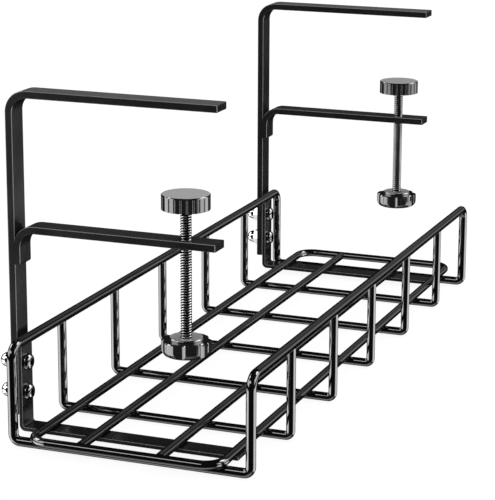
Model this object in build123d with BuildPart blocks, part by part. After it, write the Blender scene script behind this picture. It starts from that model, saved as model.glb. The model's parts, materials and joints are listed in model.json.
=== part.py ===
"""Clamp-on wire cable tray for the underside of a desk.

X runs along the tray, +Y points to the desk's back edge, where the straps hang, and +Z points up.
The origin is the bottom centre of the overall box. All sizes are in millimetres.
"""
import os
from math import radians, tan

from build123d import *

# Wires
frame_wire_d = 5.4
wire_d = 5.0
wire_weld = 0.6  # how far a resistance-welded wire sinks into its neighbour
foot_weld = 0.2
leg_weld = 1.1

# Basket
tray_length = 400.0  # between the centrelines of the two end frames
tray_width = 135.5  # between the centrelines of the two side walls
tray_height = 51.5  # from the cross wires' bottom run up to the rails, on centrelines
end_bay = 61.0  # from an end frame to the first cross wire
cross_wire_count = 5
rail_bend_r = 7.0
frame_foot_bend_r = 3.8
wire_bend_r = 3.0
floor_loop_length = 428.0
floor_loop_width = 107.4
floor_loop_bend_r = 10.5
floor_loop_shift = 0.9  # towards +Y from the basket's middle plane
cross_wire_shift = 0.7  # towards +Y from the basket's middle plane
inner_floor_wire_offsets = {"back": 25.4, "front": -19.8}  # along Y from the basket's middle plane
frame_shift = -5.0  # the side walls and cross wires sit this far towards -X of the floor loop's middle

# Flat bars
bar_width = 13.0
strap_t = 4.0
foot_t = 2.2
clamp_arm_t = 4.0
bar_edge_r = 0.5
plate_edge_r = 0.4
leg_end_r = 1.5
bracket_spacing = 367.5
strap_bend_r = 8.0
clamp_arm_bend_r = 8.0
foot_bend_r = 1.2

# Heights above the lowest point
top_arm_top = 189.0
clamp_arm_top = 117.0
clamp_leg_bottom = 95.0
strap_bottom = 11.7
basket_plate_top = 55.0
bolt_levels = (23.3, 40.2)
pad_top = 141.0
collar_top = 65.0
knob_bottom = 55.1

# Reach of the bars from the basket's middle plane towards the front
top_arm_reach = 43.2
clamp_arm_reach = 42.0
foot_reach = 55.0
screw_reach = 23.4

# Bolts and cap nuts
bolt_r = 2.5
bolt_hole_r = 2.6
bolt_head_r = 4.8
bolt_head_h = 3.1
bolt_socket_af = 3.0
bolt_socket_depth = 1.6
bolt_length_in_nut = 5.0
nut_af = 9.4
nut_hex_h = 3.2
nut_dome_r = 4.0
nut_h = 9.0
nut_bore_depth = 6.0
thread_gap = 0.05

# Clamp screw, pressure pad and hand knob
screw_r = 3.0
screw_chamfer = 0.5
running_gap = 0.05
pad_r = 12.75
pad_h = 8.0
pad_lip = 0.8
pad_flutes = 24
pad_flute_r = 0.7
pad_flute_depth = 0.35
pad_flute_turn = 10.4  # degrees from +X to the first flute
pad_socket_depth = 5.0
pad_edge = 0.35
knob_r = 13.2
knob_h = 8.3
knob_lobes = 6
knob_groove_r = 5.0
knob_groove_depth = 1.4
knob_groove_turn = 7.0  # degrees from +X to the middle of the first groove
knob_lobe_edge_r = 1.2
knob_shoulder = 0.5
knob_taper_h = 3.6
knob_taper_w = 2.7
knob_socket_depth = 6.0
collar_r = 9.1
collar_h = 2.8
collar_seat = 1.2  # depth of the collar's recess in the knob
collar_dish = 0.5
collar_edge_r = 0.9

# Derived levels and planes
frame_r = frame_wire_d / 2
wire_r = wire_d / 2
frame_bottom_z = frame_r
cross_bottom_z = frame_wire_d - wire_r
floor_z = frame_wire_d + wire_r - wire_weld
rail_z = cross_bottom_z + tray_height
foot_top = floor_z - wire_r + foot_weld

rear_stack = frame_r - wire_weld + foot_t + strap_t + nut_h
basket_y = (frame_r - rear_stack) / 2
back_y = basket_y + tray_width / 2
front_y = basket_y - tray_width / 2
plate_in_y = back_y + frame_r - wire_weld
plate_out_y = plate_in_y + foot_t
strap_out_y = plate_out_y + strap_t
screw_y = basket_y - screw_reach
bracket_x = {"near": -bracket_spacing / 2, "far": bracket_spacing / 2}


def bent_path(corners, radii, closed=False):
    """Adds a polyline with an arc at each corner to the line being built, a 3-D bent wire's axis."""
    points = [Vector(*corner) for corner in corners]
    count = len(points)
    bends = {}
    for index in range(count) if closed else range(1, count - 1):
        corner = points[index]
        arm_in = (points[index - 1] - corner).normalized()
        arm_out = (points[(index + 1) % count] - corner).normalized()
        half_angle = radians(arm_in.get_angle(arm_out)) / 2
        reach = radii[index] / tan(half_angle)
        bisector = (arm_in + arm_out).normalized()
        depth = (reach**2 + radii[index] ** 2) ** 0.5 - radii[index]
        bends[index] = (corner + arm_in * reach, corner + bisector * depth, corner + arm_out * reach)
    for index in range(count if closed else count - 1):
        after = (index + 1) % count
        start = bends[index][2] if index in bends else points[index]
        end = bends[after][0] if after in bends else points[after]
        Line(start, end)
        if after in bends:
            ThreePointArc(*bends[after])


def bent_wire(corners, radii, radius, closed=False):
    """A round wire of the given radius bent through the corners."""
    with BuildPart() as wire:
        with BuildLine() as axis:
            bent_path(corners, radii, closed)
        with BuildSketch(Plane(origin=axis.line @ 0, z_dir=axis.line % 0)):
            Circle(radius)
        sweep(path=axis.line)
    return wire.part


def bar_profile(x, corners, r_out, r_in):
    """L-shaped bar profile on the plane X = x, from six (Y, Z) corners, bent at the second and fifth."""
    with BuildSketch(Plane.YZ.offset(x)) as profile:
        with BuildLine():
            Polyline(*corners, close=True)
        make_face()
        for corner, bend_r in ((corners[1], r_out), (corners[4], r_in)):
            fillet(profile.vertices().sort_by_distance(Vector(*corner))[0], bend_r)
    return profile.sketch


def bolt_planes(x, y):
    """One plane per bolt, facing +Y, with its origin on the bolt's axis."""
    return [Plane(origin=(x, y, z), x_dir=(1, 0, 0), z_dir=(0, 1, 0)) for z in bolt_levels]


def upper_bracket(x):
    """Strap down the desk's back edge and arm over the desk top, bent from one flat bar."""
    under_arm = top_arm_top - strap_t
    arm_end = basket_y - top_arm_reach
    corners = [
        (strap_out_y, strap_bottom),
        (strap_out_y, top_arm_top),
        (arm_end, top_arm_top),
        (arm_end, under_arm),
        (plate_out_y, under_arm),
        (plate_out_y, strap_bottom),
    ]
    profile = bar_profile(x, corners, strap_bend_r + strap_t, strap_bend_r)
    with BuildPart() as bracket:
        extrude(profile, amount=bar_width / 2, both=True)
        fillet(bracket.edges(), bar_edge_r)
        with BuildSketch(*bolt_planes(x, plate_out_y)):
            Circle(bolt_hole_r)
        extrude(amount=strap_t, mode=Mode.SUBTRACT)
    return bracket.part


def clamp_arm(x):
    """Lower arm that carries the clamp screw, with a short leg welded to the strap."""
    under_arm = clamp_arm_top - clamp_arm_t
    arm_end = basket_y - clamp_arm_reach
    leg_back_y = plate_out_y + leg_weld
    leg_front_y = leg_back_y - clamp_arm_t
    corners = [
        (leg_back_y, clamp_leg_bottom),
        (leg_back_y, clamp_arm_top),
        (arm_end, clamp_arm_top),
        (arm_end, under_arm),
        (leg_front_y, under_arm),
        (leg_front_y, clamp_leg_bottom),
    ]
    profile = bar_profile(x, corners, clamp_arm_bend_r + clamp_arm_t, clamp_arm_bend_r)
    with BuildPart() as arm:
        extrude(profile, amount=bar_width / 2, both=True)
        fillet(arm.edges().group_by(Axis.Z)[0].filter_by(Axis.X), leg_end_r)
        fillet(arm.edges().filter_by(Axis.X, reverse=True), bar_edge_r)
        with BuildSketch(Plane(origin=(x, screw_y, under_arm))):
            Circle(screw_r + running_gap)
        extrude(amount=clamp_arm_t, mode=Mode.SUBTRACT)
    return arm.part


def basket_bracket(x):
    """Upright plate behind the back rail and foot under the floor wires, bent from one flat bar."""
    foot_bottom = foot_top - foot_t
    foot_end = basket_y - foot_reach
    corners = [
        (plate_out_y, basket_plate_top),
        (plate_out_y, foot_bottom),
        (foot_end, foot_bottom),
        (foot_end, foot_top),
        (plate_in_y, foot_top),
        (plate_in_y, basket_plate_top),
    ]
    profile = bar_profile(x, corners, foot_bend_r + foot_t, foot_bend_r)
    with BuildPart() as bracket:
        extrude(profile, amount=bar_width / 2, both=True)
        fillet(bracket.edges(), plate_edge_r)
        with BuildSketch(*bolt_planes(x, plate_in_y)):
            Circle(bolt_hole_r)
        extrude(amount=foot_t, mode=Mode.SUBTRACT)
    return bracket.part


def bolt_pair(x):
    """Two domed bolts with hex sockets, heads towards the basket."""
    shank_end = foot_t + strap_t + bolt_length_in_nut
    with BuildPart() as bolts:
        for z in bolt_levels:
            seat = Plane(origin=(x, plate_in_y, z), x_dir=(0, 1, 0), z_dir=(1, 0, 0))
            with BuildSketch(seat):
                with BuildLine():
                    Line((-bolt_head_h, 0), (-bolt_head_h, bolt_head_r / 2))
                    ThreePointArc(
                        (-bolt_head_h, bolt_head_r / 2),
                        (-bolt_head_h * 0.7, bolt_head_r * 0.86),
                        (-bolt_head_h * 0.15, bolt_head_r),
                    )
                    Line((-bolt_head_h * 0.15, bolt_head_r), (0, bolt_head_r))
                    Line((0, bolt_head_r), (0, bolt_r))
                    Line((0, bolt_r), (shank_end, bolt_r))
                    Line((shank_end, bolt_r), (shank_end, 0))
                    Line((shank_end, 0), (-bolt_head_h, 0))
                make_face()
            revolve(axis=Axis((x, plate_in_y, z), (0, 1, 0)))
            with BuildSketch(Plane(origin=(x, plate_in_y - bolt_head_h, z), z_dir=(0, -1, 0))):
                RegularPolygon(bolt_socket_af / 2, 6, major_radius=False)
            extrude(amount=-bolt_socket_depth, mode=Mode.SUBTRACT)
    return bolts.part


def cap_nut_pair(x):
    """Two domed cap nuts on the strap's outer face."""
    with BuildPart() as nuts:
        for z in bolt_levels:
            seat = Plane(origin=(x, strap_out_y, z), x_dir=(1, 0, 0), z_dir=(0, 1, 0))
            with BuildSketch(seat):
                RegularPolygon(nut_af / 2, 6, major_radius=False)
            extrude(amount=nut_hex_h)
            side = Plane(origin=(x, strap_out_y, z), x_dir=(0, 1, 0), z_dir=(1, 0, 0))
            with BuildSketch(side):
                with BuildLine():
                    Line((0, 0), (0, nut_dome_r))
                    Line((0, nut_dome_r), (nut_h - nut_dome_r, nut_dome_r))
                    CenterArc((nut_h - nut_dome_r, 0), nut_dome_r, 0, 90)
                    Line((nut_h, 0), (0, 0))
                make_face()
            revolve(axis=Axis((x, strap_out_y, z), (0, 1, 0)))
            with BuildSketch(seat):
                Circle(bolt_r + thread_gap)
            extrude(amount=nut_bore_depth, mode=Mode.SUBTRACT)
    return nuts.part


def clamp_screw(x):
    """Threaded rod from the knob's socket to the pressure pad's socket, at its major diameter."""
    knob_socket_z = knob_bottom + knob_h - knob_socket_depth
    pad_socket_z = pad_top - pad_h + pad_socket_depth
    length = pad_socket_z - knob_socket_z - running_gap
    with BuildPart() as screw:
        with BuildSketch(Plane(origin=(x, screw_y, knob_socket_z))):
            Circle(screw_r)
        extrude(amount=length)
        chamfer(screw.edges().group_by(Axis.Z)[-1], screw_chamfer)
    return screw.part


def pressure_pad(x):
    """Fluted round pad that presses against the desk's underside and swivels on the screw's tip."""
    pad_bottom = pad_top - pad_h
    flute_reach = pad_r + pad_flute_r - pad_flute_depth
    with BuildPart() as pad:
        with BuildSketch(Plane(origin=(x, screw_y, pad_bottom))):
            Circle(pad_r)
        extrude(amount=pad_h)
        with BuildSketch(Plane(origin=(x, screw_y, pad_bottom))):
            with PolarLocations(flute_reach, pad_flutes, start_angle=pad_flute_turn):
                Circle(pad_flute_r)
        extrude(amount=pad_h - pad_lip, mode=Mode.SUBTRACT)
        chamfer(pad.edges().group_by(Axis.Z)[-1], pad_edge)
        with BuildSketch(Plane(origin=(x, screw_y, pad_bottom))):
            Circle(screw_r + running_gap)
        extrude(amount=pad_socket_depth, mode=Mode.SUBTRACT)
    return pad.part


def hand_knob(x):
    """Lobed knob on the screw's lower end, rounded in underneath, with a recess for the collar."""
    base = Plane(origin=(x, screw_y, knob_bottom))
    top = Plane(origin=(x, screw_y, knob_bottom + knob_h))
    groove_reach = knob_r + knob_groove_r - knob_groove_depth
    base_r = knob_r - knob_taper_w
    with BuildPart() as knob:
        with BuildSketch(base) as outline:
            Circle(knob_r)
            with PolarLocations(groove_reach, knob_lobes, start_angle=knob_groove_turn):
                Circle(knob_groove_r, mode=Mode.SUBTRACT)
            fillet(outline.vertices(), knob_lobe_edge_r)
        extrude(amount=knob_h)
        chamfer(knob.edges().group_by(Axis.Z)[-1], knob_shoulder)
        with BuildSketch(Plane(origin=(x, screw_y, knob_bottom), x_dir=(1, 0, 0), z_dir=(0, -1, 0))):
            with BuildLine():
                TangentArc((knob_r, knob_taper_h), (base_r, 0), tangent=(0, -1))
                Polyline((base_r, 0), (0, 0), (0, knob_h), (knob_r, knob_h), (knob_r, knob_taper_h))
            make_face()
        revolve(axis=Axis((x, screw_y, knob_bottom), (0, 0, 1)), mode=Mode.INTERSECT)
        with BuildSketch(top):
            Circle(collar_r)
        extrude(amount=-collar_seat, mode=Mode.SUBTRACT)
        with BuildSketch(top):
            Circle(screw_r)
        extrude(amount=-knob_socket_depth, mode=Mode.SUBTRACT)
    return knob.part


def knob_collar(x):
    """Dished round collar that locks the knob to the screw."""
    bottom = collar_top - collar_h
    edge_start = (collar_r, collar_h - collar_edge_r)
    edge_end = (collar_r - collar_edge_r, collar_h)
    with BuildPart() as collar:
        with BuildSketch(Plane(origin=(x, screw_y, bottom), x_dir=(1, 0, 0), z_dir=(0, -1, 0))):
            with BuildLine():
                Polyline(edge_end, (screw_r, collar_h - collar_dish), (screw_r, 0), (collar_r, 0), edge_start)
                TangentArc(edge_start, edge_end, tangent=(0, 1))
            make_face()
        revolve(axis=Axis((x, screw_y, bottom), (0, 0, 1)))
    return collar.part


def export(part, name):
    part.label = name
    export_step(part, f"parts/{name}.step")


os.makedirs("parts", exist_ok=True)

# Frame wire: back rail, far end, front rail and near end, bent from one closed loop
near_x = frame_shift - tray_length / 2
far_x = frame_shift + tray_length / 2
frame_corners = [
    (far_x, back_y, rail_z),
    (far_x, back_y, frame_bottom_z),
    (far_x, front_y, frame_bottom_z),
    (far_x, front_y, rail_z),
    (near_x, front_y, rail_z),
    (near_x, front_y, frame_bottom_z),
    (near_x, back_y, frame_bottom_z),
    (near_x, back_y, rail_z),
]
frame_radii = [rail_bend_r if corner[2] == rail_z else frame_foot_bend_r for corner in frame_corners]
export(bent_wire(frame_corners, frame_radii, frame_r, closed=True), "frame_wire")

# Cross wires: U shapes whose ends butt against the rails from below
cross_top = rail_z - frame_r + wire_weld
cross_pitch = (tray_length - 2 * end_bay) / (cross_wire_count - 1)
cross_back_y = back_y + cross_wire_shift
cross_front_y = front_y + cross_wire_shift
for index in range(cross_wire_count):
    x = near_x + end_bay + index * cross_pitch
    cross_corners = [
        (x, cross_back_y, cross_top),
        (x, cross_back_y, cross_bottom_z),
        (x, cross_front_y, cross_bottom_z),
        (x, cross_front_y, cross_top),
    ]
    cross_radii = [0, wire_bend_r, wire_bend_r, 0]
    export(bent_wire(cross_corners, cross_radii, wire_r), f"cross_wire_{index + 1}")

# Floor loop: closed rounded rectangle on top of the cross wires
loop_x = floor_loop_length / 2
loop_half_w = floor_loop_width / 2
loop_y = basket_y + floor_loop_shift
loop_corners = [
    (loop_x, loop_y + loop_half_w, floor_z),
    (loop_x, loop_y - loop_half_w, floor_z),
    (-loop_x, loop_y - loop_half_w, floor_z),
    (-loop_x, loop_y + loop_half_w, floor_z),
]
loop_radii = [floor_loop_bend_r] * len(loop_corners)
export(bent_wire(loop_corners, loop_radii, wire_r, closed=True), "floor_loop_wire")

# Inner floor wires: straight, butted between the loop's two ends
inner_end_x = loop_x - wire_r + wire_weld
for name, offset in inner_floor_wire_offsets.items():
    with BuildPart() as floor_wire:
        with BuildSketch(Plane(origin=(-inner_end_x, basket_y + offset, floor_z), z_dir=(1, 0, 0))):
            Circle(wire_r)
        extrude(amount=2 * inner_end_x)
    export(floor_wire.part, f"floor_wire_{name}")

# Two brackets with their clamps, near the tray's two ends
for end, x in bracket_x.items():
    export(upper_bracket(x), f"upper_bracket_{end}")
    export(clamp_arm(x), f"clamp_arm_{end}")
    export(basket_bracket(x), f"basket_bracket_{end}")
    export(bolt_pair(x), f"bracket_bolts_{end}")
    export(cap_nut_pair(x), f"cap_nuts_{end}")
    export(clamp_screw(x), f"clamp_screw_{end}")
    export(pressure_pad(x), f"pressure_pad_{end}")
    export(hand_knob(x), f"hand_knob_{end}")
    export(knob_collar(x), f"knob_collar_{end}")
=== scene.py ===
"""Looks for the clamp-on cable tray: threaded screws, materials, studio light and camera."""
import json
from math import cos, pi, sin

import bpy
from mathutils import Matrix, Vector


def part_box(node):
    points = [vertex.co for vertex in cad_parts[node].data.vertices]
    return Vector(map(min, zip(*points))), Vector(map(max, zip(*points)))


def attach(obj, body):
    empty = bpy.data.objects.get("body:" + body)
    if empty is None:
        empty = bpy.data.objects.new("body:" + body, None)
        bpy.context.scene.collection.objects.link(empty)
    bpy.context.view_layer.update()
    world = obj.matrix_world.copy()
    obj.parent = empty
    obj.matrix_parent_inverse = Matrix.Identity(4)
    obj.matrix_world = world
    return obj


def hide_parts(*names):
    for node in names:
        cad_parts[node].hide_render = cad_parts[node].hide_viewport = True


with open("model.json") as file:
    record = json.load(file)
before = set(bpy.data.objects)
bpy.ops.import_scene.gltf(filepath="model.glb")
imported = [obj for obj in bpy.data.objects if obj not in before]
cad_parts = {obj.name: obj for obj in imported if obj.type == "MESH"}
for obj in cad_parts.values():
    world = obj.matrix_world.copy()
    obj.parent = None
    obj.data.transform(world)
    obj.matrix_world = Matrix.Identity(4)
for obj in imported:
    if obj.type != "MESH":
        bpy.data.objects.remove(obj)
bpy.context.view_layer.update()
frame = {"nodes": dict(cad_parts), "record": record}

MM = 0.001
to_degrees = 180.0 / pi

# Clamp screw threads
thread_pitch = 1.4 * MM
thread_depth = 0.8 * MM
thread_plain = 1.0 * MM  # plain length at each end
thread_tip = 0.4 * MM  # chamfer at each end
thread_crest = 0.3  # share of half a pitch that stays flat at the crest
thread_root = 0.1  # and at the root
thread_rows = 12  # rows of points per pitch
thread_steps = 48  # points per turn

# Camera, metres from the tray's origin
camera_place = Vector((-1.11375, -0.42572, 0.37226))
camera_forward = Vector((0.90254, 0.35052, -0.25011)).normalized()
camera_right = Vector((0.36290, -0.93182, 0.0036))
camera_lens = 146.3  # mm, as is the sensor's width
sensor_width = 36.0
camera_clip = (0.01, 100.0)

# Floor and surroundings
floor_half = 8.0
floor_glow = 1.04
floor_glow_share = 0.88
backdrop = 1.08
studio_dark = 0.005  # what reflections see between the softboxes

# Softboxes, seen only in reflections: azimuth span, elevation span, soft margins and strength
# Left and right are as the camera sees them.
# Their places and strengths were tuned towards the photo's highlights, from that one viewpoint.
softboxes = {
    "low left": ((90.0, 138.0), (-38.0, -12.0), (10.0, 6.0), 3.4),
    "middle left": ((90.0, 138.0), (12.0, 26.0), (10.0, 6.0), 3.0),
    "low right": ((-94.0, -42.0), (-38.0, -12.0), (12.0, 6.0), 3.1),
    "middle right": ((-94.0, -42.0), (12.0, 30.0), (12.0, 6.0), 3.0),
    "level right": ((-60.0, -25.0), (0.0, 10.0), (14.0, 9.0), 0.6),
    "high, behind and left": ((125.0, 175.0), (33.0, 42.0), (6.0, 3.0), 3.4),
    "high left": ((70.0, 95.0), (34.0, 46.0), (6.0, 4.0), 7.0),
    "high right": ((-58.0, -33.0), (38.0, 50.0), (6.0, 4.0), 7.0),
    "past the far end": ((-12.0, 14.0), (18.0, 30.0), (8.0, 4.0), 0.18),
    "below": ((85.0, 255.0), (-90.0, -62.0), (25.0, 26.0), 1.0),
}

# Grain of the materials and the floor, as noise scales per metre
mottle = 28.0
plate_mottle = 60.0
plate_grain = 1600.0
floor_mottle = 3.0

# Painted highlight on the tops of pieces, by the upward part of a normal: where one begins to count and
# counts fully
painted_top_highlight_normal = (0.85, 0.97)
# Plated tops are made less metallic so that their painted highlight tone shows.
painted_top_highlight_metallic = 0.2  # on the tops of plated pieces

# Painted highlights on the rounded edges of flat bars, by parts of a normal: where each test begins and is
# met
edge_leaves_face = (0.2, 0.35)  # sideways part
edge_before_side = (0.95, 0.85)
edge_looks_up = (0.3, 0.5)  # upward part less the part towards +Y

# Painted shade on plated pieces: dark rims that turn from the viewer, and dark thread grooves
painted_rim_shade_fade = 0.2
painted_rim_shade_tone = 0.01
painted_groove_shade_tone = 0.004


# ---------------------------------------------------------------- node helpers

def new_material(name):
    mat = bpy.data.materials.new(name)
    mat.use_nodes = True
    tree = mat.node_tree
    tree.nodes.clear()
    out = tree.nodes.new("ShaderNodeOutputMaterial")
    shader = tree.nodes.new("ShaderNodeBsdfPrincipled")
    tree.links.new(shader.outputs[0], out.inputs[0])
    return mat, tree, shader


def add_node(tree, kind, **values):
    """A new node; a value names a property, or an input socket with its spaces as underscores."""
    node = tree.nodes.new(kind)
    for key, value in values.items():
        socket = key.replace("_", " ")
        if socket in node.inputs:
            node.inputs[socket].default_value = value
        else:
            setattr(node, key, value)
    return node


def noise(tree, coords, scale, detail=3.0, rough=0.55):
    node = add_node(tree, "ShaderNodeTexNoise", Scale=scale, Detail=detail, Roughness=rough)
    tree.links.new(coords, node.inputs["Vector"])
    return node.outputs["Fac"]


def remap(tree, value, low, high, to_low=0.0, to_high=1.0):
    node = tree.nodes.new("ShaderNodeMapRange")
    tree.links.new(value, node.inputs["Value"])
    for name, number in zip(("From Min", "From Max", "To Min", "To Max"), (low, high, to_low, to_high)):
        node.inputs[name].default_value = number
    return node.outputs["Result"]


def math_node(tree, operation, first, second=None):
    node = add_node(tree, "ShaderNodeMath", operation=operation)
    for index, item in enumerate((first, second)):
        if item is None:
            continue
        if isinstance(item, (int, float)):
            node.inputs[index].default_value = item
        else:
            tree.links.new(item, node.inputs[index])
    return node.outputs[0]


def mix_colour(tree, factor, first, second):
    node = add_node(tree, "ShaderNodeMix", data_type="RGBA")
    tree.links.new(factor, node.inputs[0])
    for socket, item in ((node.inputs[6], first), (node.inputs[7], second)):
        if isinstance(item, tuple):
            socket.default_value = item
        else:
            tree.links.new(item, socket)
    return node.outputs[2]


def split(tree, vector):
    """The X, Y and Z of a vector."""
    axes = tree.nodes.new("ShaderNodeSeparateXYZ")
    tree.links.new(vector, axes.inputs[0])
    return axes.outputs


def object_coords(tree):
    return tree.nodes.new("ShaderNodeTexCoord").outputs["Object"]


def surface_normal(tree):
    return tree.nodes.new("ShaderNodeNewGeometry").outputs["Normal"]


def bump_map(tree, shader, height, strength, distance):
    bump = add_node(tree, "ShaderNodeBump", Strength=strength, Distance=distance)
    tree.links.new(height, bump.inputs["Height"])
    tree.links.new(bump.outputs[0], shader.inputs["Normal"])


def grey(value, tint=0.0):
    return (value, value, value * (1.0 + tint), 1.0)


# ---------------------------------------------------------------- materials

def facing_up(tree):
    """1 on faces that look up, 0 on the rest; it places the painted highlight on tops."""
    return remap(tree, split(tree, surface_normal(tree))[2], *painted_top_highlight_normal)


def painted_edge_highlight_mask(tree):
    """1 on the rounded edges where a bar's sides meet faces that look up or towards -Y, else 0: where the
    highlight painted on the edges goes.
    """
    x, y, z = split(tree, surface_normal(tree))
    side = math_node(tree, "ABSOLUTE", x)
    off_face = remap(tree, side, *edge_leaves_face)
    off_side = remap(tree, side, *edge_before_side)
    band = math_node(tree, "MULTIPLY", off_face, off_side)
    looks_up = remap(tree, math_node(tree, "SUBTRACT", z, y), *edge_looks_up)
    return math_node(tree, "MULTIPLY", band, looks_up)


def coated(name, base, rough, ior, bump, grain_size=900.0, painted_top_highlight=None, painted_edge_highlight=None):
    """Black coated metal or plastic: mottled roughness and fine grain.

    painted_top_highlight holds the paler tone painted on faces that look up, a painted highlight, and the
    heights where it begins and is full.
    painted_edge_highlight is the tone of the highlight painted on a flat bar's lit edges.
    Both are painted light, towards the tones in the photo.
    """
    mat, tree, shader = new_material(name)
    coords = object_coords(tree)
    broad = noise(tree, coords, mottle)
    fine = noise(tree, coords, grain_size, detail=2.0)
    tone = mix_colour(tree, broad, grey(base * 0.85, 0.02), grey(base * 1.2, 0.03))
    if painted_top_highlight:
        # Painted highlight: faces that look up get a paler tone, faded in with height between the given
        # heights.
        level, low, high = painted_top_highlight
        height = remap(tree, split(tree, coords)[2], low, high)
        painted_top_highlight_mask = math_node(tree, "MULTIPLY", facing_up(tree), height)
        tone = mix_colour(tree, painted_top_highlight_mask, tone, grey(level))
    if painted_edge_highlight:
        # Painted highlight along the rounded edges of flat bars that face up or towards -Y.
        tone = mix_colour(tree, painted_edge_highlight_mask(tree), tone, grey(painted_edge_highlight))
    tree.links.new(tone, shader.inputs["Base Color"])
    tree.links.new(remap(tree, broad, 0.3, 0.7, rough * 0.8, rough * 1.2), shader.inputs["Roughness"])
    shader.inputs["IOR"].default_value = ior
    bump_map(tree, shader, fine, bump, 0.1 * MM)
    return mat


def plated(name, tone, rough, painted_top_highlight=None, painted_rim_shade=None, groove=None):
    """Plated or turned metal with a faint grain.

    painted_top_highlight is the paler tone painted on faces that look up, a painted highlight.
    painted_rim_shade is how far a face turns from the viewer, from 0 to 1, before painted shade turns the
    metal dark.
    groove holds the shares of the thread's depth between which painted shade turns it dark.
    All three are painted light and shade, towards the tones in the photo.
    """
    mat, tree, shader = new_material(name)
    coords = object_coords(tree)
    grain = noise(tree, coords, plate_grain, detail=4.0)
    broad = noise(tree, coords, plate_mottle)
    colour = mix_colour(tree, broad, grey(tone * 0.9, 0.01), grey(tone * 1.1, 0.02))
    shader.inputs["Metallic"].default_value = 1.0
    if painted_rim_shade:
        # Painted shade: the metal goes dark where its faces turn from the viewer.
        turned = add_node(tree, "ShaderNodeLayerWeight", Blend=0.5).outputs["Facing"]
        colour = mix_colour(tree, remap(tree, turned, painted_rim_shade, painted_rim_shade + painted_rim_shade_fade), colour, grey(painted_rim_shade_tone))
    if groove:
        # Painted shade: the thread goes dark towards the root of its grooves.
        depth = add_node(tree, "ShaderNodeAttribute", attribute_name="groove").outputs["Fac"]
        colour = mix_colour(tree, remap(tree, depth, *groove), colour, grey(painted_groove_shade_tone))
    if painted_top_highlight:
        # Painted highlight: faces that look up get a paler, less metallic tone.
        up = facing_up(tree)
        colour = mix_colour(tree, up, colour, grey(painted_top_highlight))
        tree.links.new(remap(tree, up, 0.0, 1.0, 1.0, painted_top_highlight_metallic), shader.inputs["Metallic"])
    tree.links.new(colour, shader.inputs["Base Color"])
    tree.links.new(remap(tree, grain, 0.3, 0.7, rough * 0.7, rough * 1.35), shader.inputs["Roughness"])
    bump_map(tree, shader, grain, 0.02, 0.05 * MM)
    return mat


# The paler tops and bar edges set here are painted highlights; the dark rims and thread grooves are painted
# shade.
looks = {
    "black_wire": coated("gloss black wire", base=0.0025, rough=0.07, ior=2.2, bump=0.006, grain_size=500.0),
    "black_bar": coated("satin black bar", base=0.008, rough=0.21, ior=1.65, bump=0.03,
                        grain_size=1500.0, painted_top_highlight=(0.13, 0.1, 0.19), painted_edge_highlight=0.16),
    "black_bolt": plated("black plated bolt", tone=0.3, rough=0.1, painted_rim_shade=0.55),
    "chrome_nut": plated("bright cap nut", tone=0.75, rough=0.07, painted_rim_shade=0.6),
    "dark_screw": plated("dark plated thread", tone=0.55, rough=0.14, painted_rim_shade=0.4, groove=(0.05, 0.5)),
    "black_pad": coated("satin black pad", base=0.008, rough=0.12, ior=2.0, bump=0.01,
                        grain_size=1200.0, painted_top_highlight=(0.54, 0.1, 0.11)),
    "black_knob": coated("gloss black knob", base=0.01, rough=0.1, ior=2.0, bump=0.01),
    "dark_collar": plated("turned dark collar", tone=0.3, rough=0.22, painted_top_highlight=0.38),
}
slot_of = {entry["node"]: entry["material_slot"] for entry in frame["record"]["subparts"]}


def dress(obj, mat):
    if not obj.data.materials:
        obj.data.materials.append(mat)
    for index in range(len(obj.data.materials)):
        obj.data.materials[index] = mat


for name, node in frame["nodes"].items():
    dress(node, looks[slot_of[name]])


# ---------------------------------------------------------------- clamp screw threads

def thread_cut(from_end):
    """How deep the groove is: nothing on the plain ends, then growing over one pitch."""
    return thread_depth * min(1.0, max(0.0, (from_end - thread_plain) / thread_pitch))


def thread_flank(z, step):
    """0 on the thread's crest and 1 at its root, at a height and an angle step."""
    share = (z / thread_pitch - step / thread_steps) % 1.0
    from_crest = min(share, 1.0 - share) * 2
    return min(1.0, max(0.0, (from_crest - thread_crest) / (1.0 - thread_crest - thread_root)))


def thread_mesh(name, low, high):
    """Right-hand threaded rod with plain ends that fills the box from low to high."""
    centre = (low + high) / 2
    radius = (high.x - low.x) / 2
    rows = int((high.z - low.z) / thread_pitch * thread_rows) + 1
    verts = []
    faces = []
    grooves = []
    for row in range(rows):
        z = low.z + (high.z - low.z) * row / (rows - 1)
        from_end = min(z - low.z, high.z - z)
        cut = thread_cut(from_end)
        tip = max(0.0, thread_tip - from_end)
        for step in range(thread_steps):
            flank = thread_flank(z, step)
            r = radius - tip - cut * flank
            # Share of the thread's depth at this point, which the thread's material turns into painted shade
            # in the grooves.
            grooves.append(flank * cut / thread_depth)
            angle = 2 * pi * step / thread_steps
            verts.append((centre.x + r * cos(angle), centre.y + r * sin(angle), z))
    for row in range(rows - 1):
        for step in range(thread_steps):
            after = (step + 1) % thread_steps
            a = row * thread_steps
            b = a + thread_steps
            faces.append((a + step, a + after, b + after, b + step))
    faces.append(tuple(reversed(range(thread_steps))))
    faces.append(tuple(range((rows - 1) * thread_steps, rows * thread_steps)))
    mesh = bpy.data.meshes.new(name)
    mesh.from_pydata(verts, [], faces)
    mesh.attributes.new("groove", "FLOAT", "POINT").data.foreach_set("value", grooves)
    for face in mesh.polygons:
        face.use_smooth = len(face.vertices) == 4
    return mesh


def link(obj):
    bpy.context.scene.collection.objects.link(obj)
    return obj


for end in ("near", "far"):
    low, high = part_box(f"clamp_screw_{end}")
    mesh = thread_mesh(f"thread_{end}", low, high)
    screw = link(bpy.data.objects.new(f"threaded_screw_{end}", mesh))
    dress(screw, looks["dark_screw"])
    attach(screw, f"screw_{end}")
    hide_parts(f"clamp_screw_{end}")


# ---------------------------------------------------------------- floor, light and camera

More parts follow.
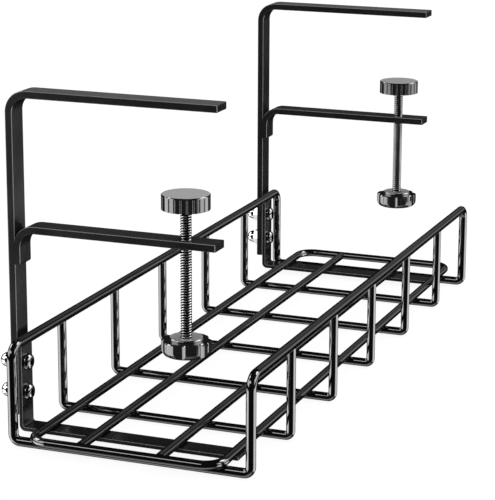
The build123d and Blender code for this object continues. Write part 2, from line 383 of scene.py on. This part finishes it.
def stage_floor():
    """Pale floor that mostly glows, so that it stays even and near white."""
    mesh = bpy.data.meshes.new("floor")
    corners = [(-1, -1), (1, -1), (1, 1), (-1, 1)]
    mesh.from_pydata([(x * floor_half, y * floor_half, 0) for x, y in corners], [], [(0, 1, 2, 3)])
    floor = link(bpy.data.objects.new("floor", mesh))
    mat, tree, shader = new_material("pale floor")
    soft = noise(tree, object_coords(tree), floor_mottle)
    tree.links.new(mix_colour(tree, soft, grey(0.93), grey(0.95)), shader.inputs["Base Color"])
    shader.inputs["Roughness"].default_value = 0.9
    glow = add_node(tree, "ShaderNodeEmission", Strength=floor_glow)
    blend = add_node(tree, "ShaderNodeMixShader")
    blend.inputs[0].default_value = floor_glow_share
    tree.links.new(shader.outputs[0], blend.inputs[1])
    tree.links.new(glow.outputs[0], blend.inputs[2])
    output = next(node for node in tree.nodes if node.type == "OUTPUT_MATERIAL")
    tree.links.new(blend.outputs[0], output.inputs[0])
    dress(floor, mat)
    floor.visible_glossy = False


def falloff(tree, angle, span, soft):
    """1 while an angle's distance from the middle of a span is inside it, fading to 0 past its ends."""
    half = (span[1] - span[0]) / 2
    return remap(tree, math_node(tree, "ABSOLUTE", angle), half + soft, half)


def softbox(tree, azimuth, elevation, az_span, el_span, soft, strength):
    """A softbox in the reflected surroundings, in degrees."""
    offset = math_node(tree, "SUBTRACT", azimuth, sum(az_span) / 2)
    wrapped = math_node(tree, "WRAP", offset, 180.0)
    wrapped.node.inputs[2].default_value = -180.0
    across = falloff(tree, wrapped, az_span, soft[0])
    up = falloff(tree, math_node(tree, "SUBTRACT", elevation, sum(el_span) / 2), el_span, soft[1])
    return math_node(tree, "MULTIPLY", math_node(tree, "MULTIPLY", across, up), strength)


def studio():
    """White surroundings for the camera and for soft light; dark ones with softboxes in reflections."""
    world = bpy.data.worlds.new("studio")
    bpy.context.scene.world = world
    world.use_nodes = True
    tree = world.node_tree
    tree.nodes.clear()
    out = tree.nodes.new("ShaderNodeOutputWorld")
    x, y, z = split(tree, tree.nodes.new("ShaderNodeTexCoord").outputs["Generated"])
    azimuth = math_node(tree, "MULTIPLY", math_node(tree, "ARCTAN2", y, x), to_degrees)
    elevation = math_node(tree, "MULTIPLY", math_node(tree, "ARCSINE", z), to_degrees)
    total = studio_dark
    for az_span, el_span, soft, strength in softboxes.values():
        box = softbox(tree, azimuth, elevation, az_span, el_span, soft, strength)
        total = math_node(tree, "ADD", box, total)
    reflected = tree.nodes.new("ShaderNodeBackground")
    tree.links.new(total, reflected.inputs["Color"])
    plain = add_node(tree, "ShaderNodeBackground", Strength=backdrop)
    plain.inputs["Color"].default_value = (1.0, 1.0, 1.0, 1.0)
    path = tree.nodes.new("ShaderNodeLightPath")
    choose = tree.nodes.new("ShaderNodeMixShader")
    tree.links.new(path.outputs["Is Glossy Ray"], choose.inputs[0])
    tree.links.new(plain.outputs[0], choose.inputs[1])
    tree.links.new(reflected.outputs[0], choose.inputs[2])
    tree.links.new(choose.outputs[0], out.inputs[0])


def photo_camera():
    data = bpy.data.cameras.new("camera")
    data.lens = camera_lens
    data.sensor_width = sensor_width
    data.clip_start, data.clip_end = camera_clip
    camera = link(bpy.data.objects.new("camera", data))
    right = (camera_right - camera_forward * camera_right.dot(camera_forward)).normalized()
    up = right.cross(camera_forward)
    turn = Matrix((right, up, -camera_forward)).transposed()
    camera.matrix_world = Matrix.Translation(camera_place) @ turn.to_4x4()
    bpy.context.scene.camera = camera


stage_floor()
studio()
photo_camera()
bpy.context.scene.view_settings.view_transform = "Standard"
